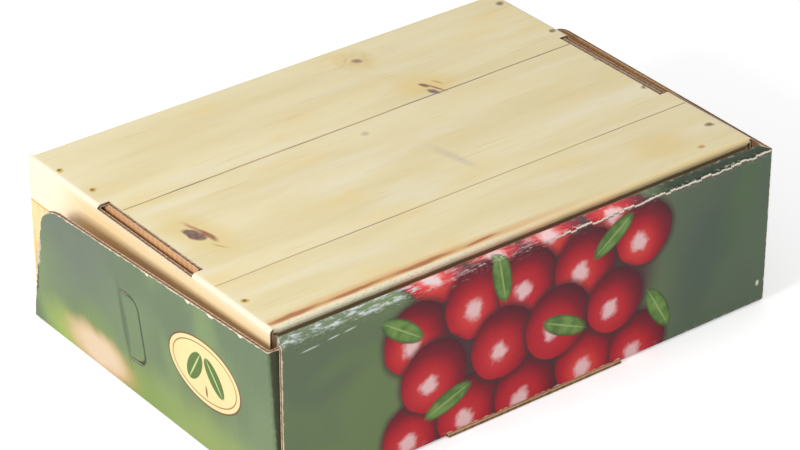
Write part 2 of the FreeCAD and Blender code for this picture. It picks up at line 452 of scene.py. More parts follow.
def tray_skin():
    """Printed face of the whole tray."""
    skin = Skin()
    half = spread_through([0.0, SLOT_X, TRAY_WALL_X, TRAY_X - FOLD])
    xs = [-x for x in reversed(half)] + half[1:]
    ys = spread_through([NEAR_Y, NEAR_Y + FOLD, SLOT_Y[0], TAB_Y[0],
                         TAB_Y[1], SLOT_Y[1], FAR_Y - FOLD, FAR_Y])
    levels = spread(FLAP_LOW_Z, LEAF_TOP_Z)
    add_tray_base(skin, xs, ys)
    for side in (-1, 1):
        add_tray_end(skin, side, ys)
        add_tray_long_wall(skin, side, xs, levels)
    return skin


def add_lid_panel(skin, xs, ys):
    """Large panel on the table, and the feet of the end panels creased up from it."""
    stations = [(Vector((x, 0)), Vector((0, -1)), x) for x in xs]
    down = Vector((0, 0, -1))
    skin.strip(stations, ys, lambda p, n, s, y: (Vector((p.x, y, 0)), down, (p.x, y)), "green",
               lambda m, y: abs(m.x) > FRONT_SLOT_X or y > SLOT_END_Y)
    foot = section([(LID_X - FOLD, 0, 0), (LID_X, 0, FOLD), (LID_X, CREASE_Z, 0)], -1)
    foot_ys = [y for y in ys if y < FOOT_Y + 0.01]
    for side in (-1, 1):
        def place(p, n, s, y):
            flat = (side * (LID_X - FOLD + s), y)
            return Vector((side * p.x, y, p.y)), Vector((side * n.x, 0, n.y)), flat

        skin.strip(foot, foot_ys, place, "side" if side < 0 else "green")


def front_inset(x, end_x):
    """Place of x along the front wall, squeezed in near the trimmed ends."""
    start = 112.0
    if abs(x) < start:
        return x
    squeezed = start + (abs(x) - start) * (end_x - start) / (FRONT_LEAF_X - start)
    return math.copysign(squeezed, x)


def crease_wobble(x):
    """How far the front wall's outer crease strays up or down along its length."""
    coarse = noise.noise(Vector((x * 0.055, 3.1, 0.4)))
    fine = noise.noise(Vector((x * 0.21, 8.7, 1.9)))
    return 0.34 * coarse + 0.3 * fine


def add_front_wall(skin, xs):
    """Front wall: outer leaf, rim, inner leaf and the locking tab bent forward through the slot."""
    corners = [(FLAP_FACE_Y, 0, 0), (FRONT_Y, 0, FOLD), (FRONT_Y, FRONT_Z, FOLD),
               (INNER_LEAF_Y, RIM_Z, FOLD), (INNER_LEAF_Y, MOUTH_Z, 0)]
    stations = section(corners, 1)
    rim_start = FRONT_Y + BOARD
    rim_end = INNER_LEAF_Y

    def place(p, n, s, x):
        share = min(1.0, max(0.0, (p.x - rim_start) / (rim_end - rim_start)))
        if p.y < FRONT_Z - 2 * FOLD and p.x < rim_start:
            share = 0.0
        end_x = FRONT_LEAF_X + (RIM_END_X - FRONT_LEAF_X) * share
        near = (Vector((FRONT_Y, FRONT_Z)) - p).length
        lift = crease_wobble(x) * math.exp(-(near / 3.0) ** 2)
        point = Vector((front_inset(x, end_x), p.x, p.y + lift))
        return point, Vector((0, n.x, n.y)), (x, FLAP_FACE_Y - s)

    skin.strip(stations, xs, place, "front",
               lambda m, x: abs(x) > FRONT_SLOT_X or m.y > FOLD or m.x > FRONT_Y + 2 * FOLD)
    tab = section([(INNER_LEAF_Y, MOUTH_Z, 0), (INNER_LEAF_Y, 0, FOLD), (FRONT_TAB_Y, 0, 0)], 1)
    length = stations[-1][2]
    tab_xs = [x for x in xs if abs(x) < FRONT_TAB_X + 0.01]
    skin.strip(tab, tab_xs, lambda p, n, s, x: place(p, n, s + length, x), "green")


def end_reach(y, z, splay):
    """Distance of an end panel from the middle of the box. It leans out more towards the hinge."""
    lean = splay[0] + (splay[1] - splay[0]) * (y - FLAP_FACE_Y) / (FAR_Y - FLAP_FACE_Y)
    return LID_X + lean * (z - CREASE_Z) / (END_TOP_Z - CREASE_Z)


def arc_corner(before, corner, after, radius, steps):
    """Points of the round that joins two straight edges at a corner."""
    to_before = (before - corner).normalized()
    to_after = (after - corner).normalized()
    half = to_before.angle(to_after) / 2
    centre = corner + (to_before + to_after).normalized() * (radius / math.sin(half))
    first = corner + to_before * (radius / math.tan(half)) - centre
    last = corner + to_after * (radius / math.tan(half)) - centre
    return [centre + first] + [centre + spoke * radius for _, spoke in turned(first, last, steps)]


def tongue_path(inset):
    """Cut round three sides of the push-in tongue, from the crease's lower end to its upper end."""
    low, high = TONGUE_Z[0] + inset, TONGUE_Z[1] - inset
    edge = TONGUE_Y - TONGUE_WIDTH + inset
    radius = TONGUE_ROUND - inset
    start, end = Vector((TONGUE_Y, low)), Vector((TONGUE_Y, high))
    lower, upper = Vector((edge, low)), Vector((edge, high))
    path = [start] + arc_corner(start, lower, upper, radius, 8)
    path += [lower.lerp(upper, share) for share in (0.3, 0.4, 0.5, 0.6, 0.7)]
    return path + arc_corner(lower, upper, end, radius, 8) + [end]


def inside(point, ring):
    """Whether a point lies in a closed outline."""
    hit = False
    for k in range(len(ring)):
        a, b = ring[k - 1], ring[k]
        if (a.y > point.y) != (b.y > point.y):
            if point.x < a.x + (b.x - a.x) * (point.y - a.y) / (b.y - a.y):
                hit = not hit
    return hit


def end_panel_plan(ys, levels):
    """Side view of an end panel as points and triangles, with the tongue's cut left open."""
    foot = Vector((FOOT_Y, CREASE_Z))
    top = Vector((END_TOP_Y, END_TOP_Z))
    front_top = Vector((BEND_Y, END_TOP_Z))
    round_points = arc_corner(foot, top, front_top, END_ROUND, 14)
    outline = [Vector((y, CREASE_Z)) for y in ys]
    slant = spread(0, (round_points[0] - foot).length, 1.6)
    outline += [foot.lerp(round_points[0], d / slant[-1]) for d in slant[1:-1]]
    outline += round_points
    rim = spread(round_points[-1].x, BEND_Y, 2.4)
    outline += [Vector((y, END_TOP_Z)) for y in rim[1:]]
    outline += [Vector((BEND_Y, z)) for z in reversed(levels[1:-1])]
    tongue = tongue_path(TONGUE_CUT)
    cut = tongue_path(0.0) + tongue[::-1]
    points = outline + cut
    edges = [(k, (k + 1) % len(outline)) for k in range(len(outline))]
    first = len(outline)
    edges += [(first + k, first + (k + 1) % len(cut)) for k in range(len(cut))]
    margin = 0.8
    for y in spread(BEND_Y, FOOT_Y)[1:-1]:
        for z in levels[1:-1]:
            p = Vector((y, z))
            near = min((p - q).length for q in points[:first + len(cut)])
            if inside(p, outline) and not inside(p, cut) and near > margin:
                points.append(p)
    found = geometry.delaunay_2d_cdt(points, edges, [], 0, 1e-4)
    triangles = []
    for face in found[2]:
        middle = sum((found[0][i] for i in face), Vector((0, 0))) / len(face)
        if inside(middle, outline) and not inside(middle, cut):
            triangles.append(face)
    return found[0], triangles, tongue


def add_end_panel(skin, side, splay, plan, levels):
    """End panel with its push-in tongue, and the corner flap round the bend at the front."""
    points, triangles, tongue = plan
    tag = "side" if side < 0 else "green"
    indices = []
    for p in points:
        y, z = p.x, p.y
        x = end_reach(y, z, splay)
        if inside(p, tongue):
            x -= TONGUE_PUSH * (TONGUE_Y - y) / TONGUE_WIDTH
        lean_y = end_reach(y + 1, z, splay) - end_reach(y, z, splay)
        lean_z = end_reach(y, z + 1, splay) - end_reach(y, z, splay)
        normal = Vector((side, -lean_y, -lean_z))
        indices.append(skin.vertex(Vector((side * x, y, z)), normal, (side * (LID_X + z), y)))
    for face in triangles:
        skin.face([indices[i] for i in face], tag)
    bend = section([(0, BEND_Y, 0), (0, FLAP_FACE_Y, FOLD), (LID_X - LID_FLAP_X, FLAP_FACE_Y, 0)], -1)

    def place(p, n, s, z):
        reach = end_reach(BEND_Y, z, splay)
        stretch = 1.0 if p.x <= FOLD else (reach - LID_FLAP_X) / (LID_X - LID_FLAP_X)
        lean = (end_reach(BEND_Y, z + 1, splay) - reach) * max(0.0, -n.x)
        point = Vector((side * (reach - p.x * stretch), p.y, z))
        return point, Vector((-side * n.x, n.y, -lean)), (side * (LID_X + z), BEND_Y - s)

    skin.strip(bend, levels, place, tag)


def lid_skin():
    """Printed face of the whole lid."""
    skin = Skin()
    half = spread_through([0.0, FRONT_TAB_X, FRONT_SLOT_X, LID_X - FOLD])
    xs = [-x for x in reversed(half)] + half[1:]
    ys = spread_through([FLAP_FACE_Y, BEND_Y, SLOT_END_Y, FOOT_Y, PANEL_FAR_Y])
    levels = spread(CREASE_Z, END_TOP_Z)
    add_lid_panel(skin, xs, ys)
    add_front_wall(skin, [-FRONT_LEAF_X] + xs + [FRONT_LEAF_X])
    foot_ys = [y for y in ys if BEND_Y - 0.01 < y < FOOT_Y + 0.01]
    plan = end_panel_plan(foot_ys, levels)
    add_end_panel(skin, -1, LEFT_SPLAY, plan, levels)
    add_end_panel(skin, 1, RIGHT_SPLAY, plan, levels)
    return skin


def linear(rgb):
    """Colour written as 0 to 255 on screen, as the light values that shaders use."""
    values = []
    for c in rgb:
        c = c / 255
        values.append(c / 12.92 if c <= 0.04045 else ((c + 0.055) / 1.055) ** 2.4)
    return (*values, 1.0)


class Value:
    """A number or colour inside a material's nodes, with the usual signs."""

    def __init__(self, paint, socket):
        self.paint = paint
        self.socket = socket

    def __add__(self, other):
        return self.paint.math("ADD", self, other)

    def __mul__(self, other):
        return self.paint.math("MULTIPLY", self, other)

    def __sub__(self, other):
        return self.paint.math("SUBTRACT", self, other)

    def __rsub__(self, other):
        return self.paint.math("SUBTRACT", other, self)

    def __abs__(self):
        return self.paint.math("ABSOLUTE", self)

    __radd__ = __add__
    __rmul__ = __mul__


class Paint:
    """One material, built up by laying colours over one another.

    Places and sizes are in millimetres on the flat sheet. The function at gives the place on the flat sheet
    of a place measured on the box.
    """

    def __init__(self, name, at=None):
        self.at = at
        self.color = None
        self.material = bpy.data.materials.new(name)
        self.material.use_nodes = True
        self.tree = self.material.node_tree
        self.shader = self.tree.nodes["Principled BSDF"]
        self.sheet = self.attribute("sheet")
        split = self.split(self.sheet)
        self.u = split[0] * 1000
        self.v = split[1] * 1000
        self.edge, self.fold = self.split(self.attribute("wear_and_sheen"))[:2]

    def node(self, kind):
        return self.tree.nodes.new("ShaderNode" + kind)

    def feed(self, socket, value):
        if isinstance(value, Value):
            self.tree.links.new(value.socket, socket)
        else:
            socket.default_value = value

    def attribute(self, name):
        node = self.node("Attribute")
        node.attribute_name = name
        return Value(self, node.outputs["Vector"])

    def split(self, vector):
        node = self.node("SeparateXYZ")
        self.feed(node.inputs[0], vector)
        return [Value(self, out) for out in node.outputs]

    def vector(self, *parts):
        node = self.node("CombineXYZ")
        for socket, part in zip(node.inputs, parts):
            self.feed(socket, part)
        return Value(self, node.outputs[0])

    def math(self, operation, *values):
        node = self.node("Math")
        node.operation = operation
        for socket, value in zip(node.inputs, values):
            self.feed(socket, value)
        return Value(self, node.outputs[0])

    def step(self, value, start, end):
        """0 at start and before it, 1 at end and beyond it, smooth between."""
        node = self.node("MapRange")
        node.interpolation_type = "SMOOTHSTEP"
        self.feed(node.inputs["Value"], value)
        node.inputs["From Min"].default_value = start
        node.inputs["From Max"].default_value = end
        return Value(self, node.outputs[0])

    def grain(self, size_u, size_v, seed, detail=2.0, rough=0.5, shift=0.0):
        """Cloudy noise from 0 to 1, with features of the given size along and across the sheet."""
        scaled = self.node("VectorMath")
        scaled.operation = "MULTIPLY_ADD"
        self.feed(scaled.inputs[0], self.sheet)
        scaled.inputs[1].default_value = (1000 / size_u, 1000 / size_v, 0)
        offset = (seed * 1.37, seed * 2.71, shift + seed)
        self.feed(scaled.inputs[2], self.vector(*offset) if isinstance(shift, Value) else offset)
        node = self.node("TexNoise")
        self.feed(node.inputs["Vector"], Value(self, scaled.outputs[0]))
        node.inputs["Scale"].default_value = 1.0
        node.inputs["Detail"].default_value = detail
        node.inputs["Roughness"].default_value = rough
        return Value(self, node.outputs[0])

    def wavy(self, amount, size, seed):
        """The place on the sheet, moved to and fro by up to half the amount."""
        u = self.u + (self.grain(size, size, seed) - 0.5) * amount
        v = self.v + (self.grain(size, size, seed + 3.3) - 0.5) * amount
        return u, v

    def spot(self, centre, radii, turn=0.0, soft=0.3, place=None):
        """Ellipse with a soft edge: 1 inside, 0 outside. turn is in degrees from the first axis."""
        u, v = place or (self.u, self.v)
        c, s = math.cos(math.radians(turn)), math.sin(math.radians(turn))
        du, dv = u - centre[0], v - centre[1]
        along = (du * c + dv * s) * (1 / radii[0])
        across = (dv * c - du * s) * (1 / radii[1])
        reach = self.math("SQRT", along * along + across * across)
        return self.step(reach, 1 + soft, 1 - soft)

    def streak(self, start, end, width, soft=0.5, place=None):
        """Lens-shaped stroke from one place to another."""
        du, dv = end[0] - start[0], end[1] - start[1]
        centre = ((start[0] + end[0]) / 2, (start[1] + end[1]) / 2)
        length = math.hypot(du, dv)
        return self.spot(centre, (length / 2, width / 2), math.degrees(math.atan2(dv, du)), soft, place)

    def mix(self, first, second, share):
        """First colour where share is 0, second where it is 1."""
        node = self.node("Mix")
        node.data_type = "RGBA"
        self.feed(node.inputs[0], share)
        for socket, color in ((node.inputs[6], first), (node.inputs[7], second)):
            self.feed(socket, color if isinstance(color, Value) else linear(color))
        return Value(self, node.outputs[2])

    def coat(self, rgb, share):
        """Lay a colour over the present one, by a share from 0 to 1."""
        self.color = self.mix(self.color, rgb, share)

    def blot(self, rgb, centre, radii, turn=0.0, soft=0.3, strength=1.0, place=None):
        """Lay an ellipse of a colour over the present one."""
        self.coat(rgb, self.spot(self.at(*centre), radii, turn, soft, place) * strength)

    def stroke(self, rgb, start, end, width, soft=0.5, strength=1.0, place=None):
        """Lay a lens-shaped stroke of a colour over the present one."""
        self.coat(rgb, self.streak(self.at(*start), self.at(*end), width, soft, place) * strength)

    def ramp(self, value, colours):
        """Colours in a row, evenly spaced from value 0 to value 1."""
        node = self.node("ValToRGB")
        marks = node.color_ramp.elements
        marks[0].color, marks[1].color = linear(colours[0]), linear(colours[-1])
        for k in range(1, len(colours) - 1):
            marks.new(k / (len(colours) - 1)).color = linear(colours[k])
        self.feed(node.inputs[0], value)
        return Value(self, node.outputs[0])

    def finish(self, roughness, height, specular):
        """Join the colour, a roughness and a height in millimetres to the shader."""
        self.feed(self.shader.inputs["Base Color"], self.color)
        self.feed(self.shader.inputs["Roughness"], roughness)
        self.shader.inputs["Specular IOR Level"].default_value = specular
        bump = self.node("Bump")
        bump.inputs["Distance"].default_value = MM
        self.feed(bump.inputs["Height"], height)
        self.tree.links.new(bump.outputs[0], self.shader.inputs["Normal"])
        return self.material

    def washboard(self):
        """Height from -1 to 1 of the flutes that show through the face."""
        return self.math("SINE", self.v * (2 * math.pi / FLUTE_PITCH))

    def chips_and_fold_sheen(self, torn, rub_and_sheen, amount):
        """Chip the raw edges, and lighten the folds in patches: partly rubbed paper, partly a painted
        highlight.
        """
        chip = self.edge + (self.grain(2.6, 2.6, 41, 3.0) - 0.5) * 2.2
        self.coat(torn, self.step(chip, 0.35, 0.05))
        # Patches on the folds: rubbed paper and a painted highlight
        fold_patches = self.step(self.grain(3.4, 1.3, 43, 4.0, 0.7), 0.5, 0.74) * self.fold
        self.coat(rub_and_sheen, fold_patches * amount)


def from_corner(x, y):
    """Place on the flat sheet of a point of the base, as (along, across) from its near left corner."""
    return x - TRAY_X, y + NEAR_Y


def wood_base(p, shift):
    """Pale pine print with the grain along the first axis of the sheet."""
    broad = p.grain(110, 15, 1, 2.0, 0.5, shift)
    p.color = p.mix((236, 223, 181), (229, 213, 165), p.step(broad, 0.34, 0.66))
    clouds = p.grain(52, 24, 5, 3.0, 0.55, shift)
    p.coat((236, 209, 143), p.step(clouds, 0.5, 0.76) * 0.7)
    p.coat((238, 230, 205), p.step(p.grain(60, 12, 7, 3.0, 0.5, shift), 0.5, 0.72) * 0.45)
    rings = p.grain(38, 1.7, 9, 4.0, 0.68, shift)
    p.coat((205, 178, 122), p.step(rings, 0.54, 0.74) * 0.3)
    p.coat((214, 182, 140), p.step(p.grain(12, 0.7, 12, 2.0, 0.5, shift), 0.63, 0.76) * 0.22)


def plank_line(p, start, end, width, dark, light):
    """Thin drawn gap between two planks, from start to end, that strays a little."""
    slope = (end[1] - start[1]) / (end[0] - start[0])
    off = p.v - start[1] - (p.u - start[0]) * slope + (p.grain(34, 34, 21) - 0.5) * 0.9
    line = p.step(abs(off), width * 0.62, width * 0.22)
    for x, inward in ((start[0], 0.4), (end[0], -0.4)):
        line = line * p.step(p.u, x - inward, x + inward)
    shade = p.mix(dark, light, p.step(p.grain(46, 46, 23, 3.0), 0.42, 0.6))
    p.coat(shade, line * 0.92)


def wood_material():
    """Print of the base and the long walls: three planks with knots, streaks and nail heads."""
    p = Paint("wood_print", from_corner)
    far_line, near_line = [[from_corner(*end) for end in line] for line in PLANK_LINES]
    far_y, near_y = far_line[0][1], near_line[0][1]
    plank = p.step(p.v, far_y, far_y + 2) + p.step(p.v, near_y, near_y + 2)
    wood_base(p, plank * 3.7)
    wavy = p.wavy(3.0, 7.0, 31)

    # Large knot on the left, with its halo and orange streaks
    fibres = p.step(p.grain(2.2, 0.8, 33, 2.0), 0.42, 0.62)
    p.blot((226, 198, 124), (19, 74), (9, 17), 12, 0.6, 0.55, wavy)
    knot = p.spot(from_corner(17.2, 73.6), (2.7, 5.4), 12, 0.25, wavy)
    p.coat((130, 96, 82), knot * 0.95)
    p.coat((78, 56, 62), knot * fibres * 0.75)
    p.stroke((176, 120, 86), (19.2, 83), (21.6, 71), 2.0, 0.6, 0.8, wavy)
    p.stroke((146, 76, 56), (20.9, 75), (21.6, 65), 2.8, 0.5, 0.85, wavy)
    p.stroke((206, 164, 96), (19, 63), (22, 58), 1.2, 0.7, 0.8, wavy)

    # Ringed knot at the back
    rings = p.math("SINE", p.math("SQRT", p.grain(9, 9, 35)) * 40.0) * 0.5 + 0.5
    halo = p.spot(from_corner(153, 152), (8.0, 8.5), 0, 0.5, wavy)
    p.coat((220, 190, 122), halo * (0.35 + rings * 0.4))
    p.blot((150, 112, 92), (153.6, 151.2), (2.3, 1.5), -40, 0.5, 0.85, wavy)

    # Knot at the far line
    p.blot((230, 200, 126), (163, 118), (13, 9), -20, 0.6, 0.6, wavy)
    p.stroke((140, 106, 80), (161.5, 118.5), (163.5, 114), 2.6, 0.4, 1.0, wavy)
    p.stroke((160, 112, 66), (163.5, 116), (166.5, 107.6), 1.2, 0.6)
    p.stroke((128, 104, 108), (161.6, 112.5), (162.8, 107.2), 3.0, 0.5, 1.0, wavy)
    p.stroke((205, 158, 78), (167.5, 118), (169.5, 113.5), 1.3, 0.6, 0.8)

    # Faint marks
    p.stroke((190, 180, 164), (132.6, 72), (135.7, 52), 4.0, 0.8, 0.45, wavy)
    p.blot((196, 178, 146), (117.7, 98.5), (1.6, 1.4), 0, 0.7, 0.7, wavy)
    p.blot((196, 138, 84), (218, 6.9), (1.6, 1.3), 0, 0.6, 0.85, wavy)
    p.blot((228, 196, 124), (206, 17), (13, 9), 0, 0.7, 0.5, wavy)

    # Broken orange streak along the near edge
    near = p.wavy(1.4, 9.0, 37)
    p.stroke((222, 170, 104), (-6, 4.2), (140, 3.2), 5.4, 0.7, 0.8, near)
    for start, end, width in ((0.5, 25, 2.7), (27, 56, 2.0), (58, 88, 2.5), (94, 110, 1.7)):
        p.stroke((168, 102, 60), (start, 3.3), (end, 3.8), width, 0.5, 0.9, near)
    p.stroke((232, 196, 128), (180, 0.6), (240, 0.6), 1.6, 0.5, 0.6)

    # Painted shade: a brown line at the foot of the near fold, where the near wall goes down into the dark
    # gap by the lid's rim
    gap_shade_offset = p.v - NEAR_Y + 2.5 + (p.grain(14, 14, 39) - 0.5) * 0.8
    p.coat((112, 78, 46), p.step(abs(gap_shade_offset), 1.2, 0.6) * 0.85)
    # Painted highlight: the near fold itself, paler on the left, with a crackle and rough face of rubbed
    # paper
    off = abs(p.v - NEAR_Y + (p.grain(16, 16, 45) - 0.5) * 0.8)
    rub_and_sheen = p.step(off, 2.2, 1.0)
    pale = p.step(p.u, 30, -50)
    p.coat(p.mix((242, 216, 158), (248, 240, 214), pale), rub_and_sheen * 0.8)
    crackle = p.step(p.grain(1.8, 0.8, 46, 4.0, 0.7), 0.48, 0.66)
    p.coat((212, 184, 128), crackle * rub_and_sheen * pale * 0.6)

    plank_line(p, *far_line, 0.8, (104, 92, 88), (172, 140, 92))
    plank_line(p, *near_line, 0.62, (128, 110, 92), (176, 146, 98))
    for x, y in LEFT_NAILS:
        p.blot((206, 176, 70), (x, y), (1.5, 1.5), 0, 0.3, 0.9, wavy)
        p.blot((112, 84, 32), (x - 0.1, y + 0.4), (0.8, 0.9), 0, 0.4, 0.9)
    for nail in RIGHT_NAILS:
        p.blot((168, 150, 112), nail, (1.8, 1.7), 0, 0.4, 0.9, wavy)
        p.blot((116, 100, 80), nail, (1.1, 1.0), 0, 0.5, 0.85)
    p.chips_and_fold_sheen((238, 226, 200), (244, 236, 214), 0.35)
    rough = p.grain(1.1, 1.1, 51, 3.0) * (0.02 + rub_and_sheen * pale * 0.08)
    height = p.washboard() * 0.012 + rough + p.grain(40, 1.6, 52) * 0.02
    return p.finish(p.grain(18, 9, 53, 3.0) * 0.2 + 0.4, height, 0.35)


def ends_material():
    """Print of the tray's end walls: two planks with the grain along the wall, and a painted highlight at
    the fold and towards the far end.
    """
    p = Paint("end_print")
    down = abs(p.u) - (TRAY_X - FOLD)
    warm = p.mix((244, 224, 178), (240, 217, 164), p.step(p.grain(14, 90, 61, 2.0), 0.38, 0.62))
    # Painted highlight: paler at the fold to the base and towards the far end
    pale = p.math("MAXIMUM", p.step(down, 7.0, 1.5), p.step(p.v, 40, 72))
    p.color = p.mix(warm, (233, 223, 196), pale)
    p.coat((220, 192, 140), p.step(p.grain(1.4, 60, 63, 3.0, 0.6), 0.58, 0.76) * 0.4)
    stray = down + (p.grain(12, 12, 65) - 0.5) * 0.8
    lower = p.step(stray, 20.4, 21.0)
    p.coat((228, 198, 132), lower * 0.75)
    streaks = p.step(p.grain(26, 3.2, 67, 3.0, 0.6), 0.55, 0.7)
    p.coat((196, 138, 70), streaks * lower * p.step(p.v, 62, 82) * 0.75)
    p.coat((222, 176, 104), streaks * lower * 0.3)
    p.coat((206, 150, 72), p.step(abs(stray - 20.7), 0.6, 0.2) * 0.85)
    p.chips_and_fold_sheen((228, 214, 186), (234, 224, 200), 0.35)
    rough = p.grain(1.1, 1.1, 51, 3.0) * 0.02
    height = p.washboard() * 0.012 + rough + p.grain(1.6, 40, 52) * 0.02
    return p.finish(p.grain(9, 18, 53, 3.0) * 0.2 + 0.4, height, 0.35)


def print_finish(p, wear_and_sheen, relief=0.0):
    """Glossy printed face with chipped edges, folds lightened by rubbing and a painted highlight, and faint
    flute lines.
    """
    p.chips_and_fold_sheen((222, 208, 186), (226, 220, 206), wear_and_sheen)
    scratch = p.step(p.grain(14, 0.35, 71, 2.0), 0.7, 0.8) * p.step(p.grain(30, 30, 72), 0.55, 0.7)
    p.coat((205, 208, 200), scratch * 0.35)
    height = p.washboard() * 0.008 + p.grain(1.3, 1.3, 73, 3.0) * 0.02 - scratch * 0.02 + relief
    return p.finish(p.grain(22, 22, 74, 3.0) * 0.22 + 0.3 + scratch * 0.2, height, 0.3)


def blurred_leaves(p, dark, middle, light, seed):
    """Out-of-focus garden greens."""
    p.color = p.mix(dark, middle, p.step(p.grain(60, 46, seed, 1.0), 0.38, 0.6))
    p.coat(light, p.step(p.grain(38, 30, seed + 4, 1.0), 0.54, 0.74) * 0.6)


def green_material():
    """Print of the lid's large panel and its right end."""
    p = Paint("green_print")
    blurred_leaves(p, (84, 102, 72), (104, 124, 84), (138, 158, 84), 81)
    return print_finish(p, 0.8)


def on_end(y, z):
    """Place on the flat sheet of a point of the left end panel, as seen in the photo."""
    return -(LID_X + z), y + NEAR_Y


def side_material():
    """Print of the left end panel: blurred greens, a pale glow, and a plain oval label with two leaves."""
    p = Paint("side_print", on_end)
    blurred_leaves(p, (97, 113, 84), (107, 125, 90), (124, 144, 92), 85)
    p.blot((94, 102, 94), (118, 62), (26, 26), 0, 0.7, 0.7)
    # Lit leaves and then the glow: colour, middle, radii, softness, strength
    wavy = p.wavy(9.0, 16.0, 87)
    for rgb, middle, radii, soft, strength in (
            ((142, 158, 86), (42, 0), (18, 42), 0.8, 0.8),
            ((152, 174, 82), (136, 5), (13, 15), 0.8, 0.9),
            ((124, 148, 68), (88, 6), (12, 22), 0.8, 0.7),
            ((124, 148, 72), (112, 20), (10, 10), 0.9, 0.5),
            ((196, 146, 86), (112, 8), (11, 22), 0.5, 0.9),
            ((214, 190, 160), (113, 9), (9.5, 19), 0.5, 1.0)):
        p.blot(rgb, middle, radii, 0, soft, strength, wavy)

    cream = p.mix((222, 200, 142), (228, 210, 156), p.grain(9, 9, 89, 2.0))
    for rgb, radii in zip(((104, 66, 40), cream, (140, 92, 56), cream), LABEL_RINGS):
        p.blot(rgb, LABEL, radii, 0, 0.012)
    for lean in (32, -32):
        leaf = (LABEL[0] + math.copysign(6.2, lean), LABEL[1] + 0.5)
        p.blot((84, 110, 52), leaf, (8.6, 4.0), lean, 0.05)
        p.blot((190, 196, 130), leaf, (8.0, 0.4), lean, 0.3)
    p.blot((140, 92, 56), (LABEL[0], LABEL[1] - 8.6), (2.6, 0.6), 0, 0.2)

    # Painted shade on the bend at the front corner, where it turns into the gap by the front wall; a ragged
    # slanted edge, with painted shade low on it; and chips along the upper edge
    p.coat((52, 56, 30), p.step(p.v, BEND_Y - 1.3, BEND_Y - 2.5) * 0.85)
    ragged = p.step(p.edge + (p.grain(2.0, 2.0, 83, 3.0) - 0.5) * 3.0, 1.7, 0.7)
    # Painted shade: dark low on the slanted edge, where the surface turns away
    p.coat((50, 56, 42), ragged * p.spot(on_end(152, 25), (9, 8), 0, 0.4) * 0.9)
    p.coat((206, 204, 190), ragged * p.spot(on_end(146, 41), (8, 7), 0, 0.4) * 0.7)
    jagged = p.wavy(1.6, 2.0, 84)
    for y, z, length in ((41, 69.0, 2.6), (27, 69.0, 3.6), (9, 69.2, 2.4), (66, 69.3, 2.0)):
        p.blot((236, 224, 202), (y, z + 0.3), (1.0, length * 0.6), 0, 0.3, 1.0, jagged)

    # Pressed crease and slit of the tongue, both darkened with painted shade; the tongue stays free of
    # chips
    crease, middle = TONGUE_Y - NEAR_Y, sum(TONGUE_Z) / 2
    groove = p.spot(on_end(crease + 1.0, middle), (17.0, 1.6), 0, 0.5)
    p.coat((62, 76, 58), groove * 0.55)
    tongue = p.spot(on_end(crease - 5, middle), (22, 9), 0, 0.2)
    # Painted shade along the slit round the tongue
    p.coat((36, 44, 32), p.step(p.edge, 1.1, 0.3) * tongue * 0.85)
    p.edge = p.edge + tongue * 3.0
    return print_finish(p, 0.15, groove * -0.3)


def on_front(x, up):
    """Place on the flat sheet of a point of the front wall, at a height over the table."""
    return x, FLAP_FACE_Y - up


def fruit_heap(p):
    """Generic heap of round red fruit, drawn one ball after another."""
    def away(place, u, v):
        node = p.node("VectorMath")
        node.operation = "DISTANCE"
        p.feed(node.inputs[0], place)
        node.inputs[1].default_value = (u, v, 0)
        return Value(p, node.outputs["Value"])

    skin, gloss = p.vector(*p.wavy(2.0, 9.0, 77)), p.vector(*p.wavy(5.0, 4.0, 79))
    for height, places in FRUIT_ROWS:
        for u in places:
            u += random.uniform(-3, 3)
            v = FLAP_FACE_Y - height + random.uniform(-3, 3)
            radius = random.uniform(14.5, 17.0)
            reach = away(skin, u, v)
            lit = away(skin, u - 3.0, v + 4.5)
            shine = away(gloss, u - 2.6, v + 3.4)
            tone = random.uniform(0.0, 1.0)
            bright = (238 - 34 * tone, 74 - 34 * tone, 66 - 10 * tone)
            ball = p.ramp(lit * (1 / (radius + 4)),
                          (bright, bright, (196, 34, 48), (136, 26, 42), (88, 30, 42)))
            ball = p.mix(ball, (252, 206, 206), p.step(shine, 5.6, 2.2))
            p.coat((78, 48, 50), p.step(reach, radius + 3.2, radius - 0.8) * 0.8)
            p.coat(ball, p.step(reach, radius, radius - 0.7))


